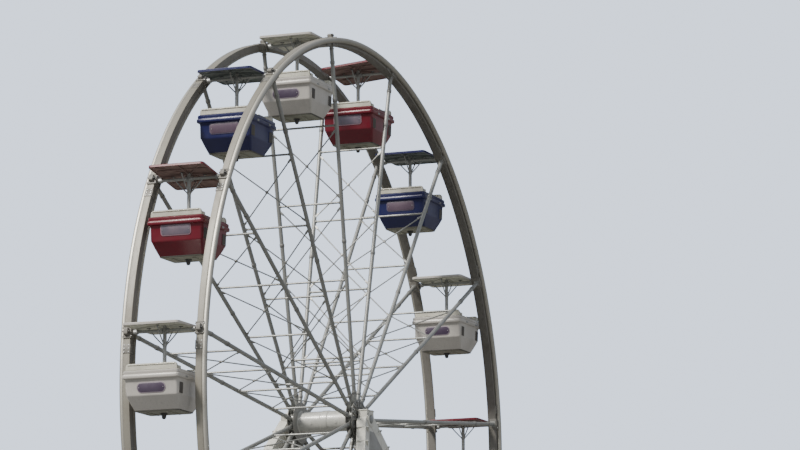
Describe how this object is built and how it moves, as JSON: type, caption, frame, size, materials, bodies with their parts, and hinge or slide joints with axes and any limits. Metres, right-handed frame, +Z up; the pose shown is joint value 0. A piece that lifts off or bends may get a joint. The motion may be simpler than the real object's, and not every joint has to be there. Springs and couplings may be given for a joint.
{
  "type": "ferris wheel",
  "caption": "Portable fairground ferris wheel: canopied open tubs hang level between two rims, on ladder spokes and two A-frame towers.",
  "frame": {"origin": "on the ground below the hub, at the middle of the base", "axes": "+X along the shaft to the near tower, +Y level across the wheel, +Z up"},
  "size_m": [8.1896, 18.108, 19.6793],
  "materials": {
    "wheel_paint": "gloss",
    "tower_paint": "satin",
    "ground_steel": "satin",
    "tub_red": "gloss",
    "tub_white": "gloss",
    "tub_blue": "gloss"
  },
  "bodies": {
    "frame": {"tower_head_near": "tower_paint", "tower_leg_front_near": "tower_paint", "tower_leg_back_near": "tower_paint", "tower_tie_near": "tower_paint", "ground_sill_near": "ground_steel", "tower_head_far": "tower_paint", "tower_leg_front_far": "tower_paint", "tower_leg_back_far": "tower_paint", "tower_tie_far": "tower_paint", "ground_sill_far": "ground_steel", "cross_beam_front": "ground_steel", "cross_beam_back": "ground_steel"},
    "wheel": {"hub": "wheel_paint", "rim_near": "wheel_paint", "rim_far": "wheel_paint", "spoke_frame_01": "wheel_paint", "spoke_frame_02": "wheel_paint", "spoke_frame_03": "wheel_paint", "spoke_frame_04": "wheel_paint", "spoke_frame_05": "wheel_paint", "spoke_frame_06": "wheel_paint", "spoke_frame_07": "wheel_paint", "spoke_frame_08": "wheel_paint", "spoke_frame_09": "wheel_paint", "spoke_frame_10": "wheel_paint", "spoke_frame_11": "wheel_paint", "spoke_frame_12": "wheel_paint", "spoke_frame_13": "wheel_paint", "spoke_frame_14": "wheel_paint", "spoke_frame_15": "wheel_paint"},
    "cabin_01": {"tub_01": "tub_red", "canopy_01": "tub_red"},
    "cabin_02": {"tub_02": "tub_white", "canopy_02": "tub_white"},
    "cabin_03": {"tub_03": "tub_blue", "canopy_03": "tub_blue"},
    "cabin_04": {"tub_04": "tub_red", "canopy_04": "tub_red"},
    "cabin_05": {"tub_05": "tub_white", "canopy_05": "tub_white"},
    "cabin_06": {"tub_06": "tub_blue", "canopy_06": "tub_blue"},
    "cabin_07": {"tub_07": "tub_red", "canopy_07": "tub_red"},
    "cabin_08": {"tub_08": "tub_white", "canopy_08": "tub_white"},
    "cabin_09": {"tub_09": "tub_blue", "canopy_09": "tub_blue"},
    "cabin_10": {"tub_10": "tub_red", "canopy_10": "tub_red"},
    "cabin_11": {"tub_11": "tub_white", "canopy_11": "tub_white"},
    "cabin_12": {"tub_12": "tub_blue", "canopy_12": "tub_blue"},
    "cabin_13": {"tub_13": "tub_red", "canopy_13": "tub_red"},
    "cabin_14": {"tub_14": "tub_white", "canopy_14": "tub_white"},
    "cabin_15": {"tub_15": "tub_blue", "canopy_15": "tub_blue"}
  },
  "joints": [
    {"name": "wheel_spin", "type": "hinge", "parent": "frame", "child": "wheel", "pos_m": [0, 0, 11.2], "axis": [1, 0, 0], "continuous": true},
    {"name": "cabin_01_swing", "type": "hinge", "parent": "wheel", "child": "cabin_01", "pos_m": [0, 8.35398, 12.07804], "axis": [1, 0, 0], "continuous": true},
    {"name": "cabin_02_swing", "type": "hinge", "parent": "wheel", "child": "cabin_02", "pos_m": [0, 7.27461, 15.4], "axis": [1, 0, 0], "continuous": true},
    {"name": "cabin_03_swing", "type": "hinge", "parent": "wheel", "child": "cabin_03", "pos_m": [0, 4.9374, 17.99574], "axis": [1, 0, 0], "continuous": true},
    {"name": "cabin_04_swing", "type": "hinge", "parent": "wheel", "child": "cabin_04", "pos_m": [0, 1.74646, 19.41644], "axis": [1, 0, 0], "continuous": true},
    {"name": "cabin_05_swing", "type": "hinge", "parent": "wheel", "child": "cabin_05", "pos_m": [0, -1.74646, 19.41644], "axis": [1, 0, 0], "continuous": true},
    {"name": "cabin_06_swing", "type": "hinge", "parent": "wheel", "child": "cabin_06", "pos_m": [0, -4.9374, 17.99574], "axis": [1, 0, 0], "continuous": true},
    {"name": "cabin_07_swing", "type": "hinge", "parent": "wheel", "child": "cabin_07", "pos_m": [0, -7.27461, 15.4], "axis": [1, 0, 0], "continuous": true},
    {"name": "cabin_08_swing", "type": "hinge", "parent": "wheel", "child": "cabin_08", "pos_m": [0, -8.35398, 12.07804], "axis": [1, 0, 0], "continuous": true},
    {"name": "cabin_09_swing", "type": "hinge", "parent": "wheel", "child": "cabin_09", "pos_m": [0, -7.98888, 8.60426], "axis": [1, 0, 0], "continuous": true},
    {"name": "cabin_10_swing", "type": "hinge", "parent": "wheel", "child": "cabin_10", "pos_m": [0, -6.24242, 5.5793], "axis": [1, 0, 0], "continuous": true},
    {"name": "cabin_11_swing", "type": "hinge", "parent": "wheel", "child": "cabin_11", "pos_m": [0, -3.41659, 3.52622], "axis": [1, 0, 0], "continuous": true},
    {"name": "cabin_12_swing", "type": "hinge", "parent": "wheel", "child": "cabin_12", "pos_m": [0, 0, 2.8], "axis": [1, 0, 0], "continuous": true},
    {"name": "cabin_13_swing", "type": "hinge", "parent": "wheel", "child": "cabin_13", "pos_m": [0, 3.41659, 3.52622], "axis": [1, 0, 0], "continuous": true},
    {"name": "cabin_14_swing", "type": "hinge", "parent": "wheel", "child": "cabin_14", "pos_m": [0, 6.24242, 5.5793], "axis": [1, 0, 0], "continuous": true},
    {"name": "cabin_15_swing", "type": "hinge", "parent": "wheel", "child": "cabin_15", "pos_m": [0, 7.98888, 8.60426], "axis": [1, 0, 0], "continuous": true}
  ],
  "couplings": [
    {"joint": "cabin_01_swing", "follows": "wheel_spin", "ratio": -1},
    {"joint": "cabin_02_swing", "follows": "wheel_spin", "ratio": -1},
    {"joint": "cabin_03_swing", "follows": "wheel_spin", "ratio": -1},
    {"joint": "cabin_04_swing", "follows": "wheel_spin", "ratio": -1},
    {"joint": "cabin_05_swing", "follows": "wheel_spin", "ratio": -1},
    {"joint": "cabin_06_swing", "follows": "wheel_spin", "ratio": -1},
    {"joint": "cabin_07_swing", "follows": "wheel_spin", "ratio": -1},
    {"joint": "cabin_08_swing", "follows": "wheel_spin", "ratio": -1},
    {"joint": "cabin_09_swing", "follows": "wheel_spin", "ratio": -1},
    {"joint": "cabin_10_swing", "follows": "wheel_spin", "ratio": -1},
    {"joint": "cabin_11_swing", "follows": "wheel_spin", "ratio": -1},
    {"joint": "cabin_12_swing", "follows": "wheel_spin", "ratio": -1},
    {"joint": "cabin_13_swing", "follows": "wheel_spin", "ratio": -1},
    {"joint": "cabin_14_swing", "follows": "wheel_spin", "ratio": -1},
    {"joint": "cabin_15_swing", "follows": "wheel_spin", "ratio": -1}
  ]
}
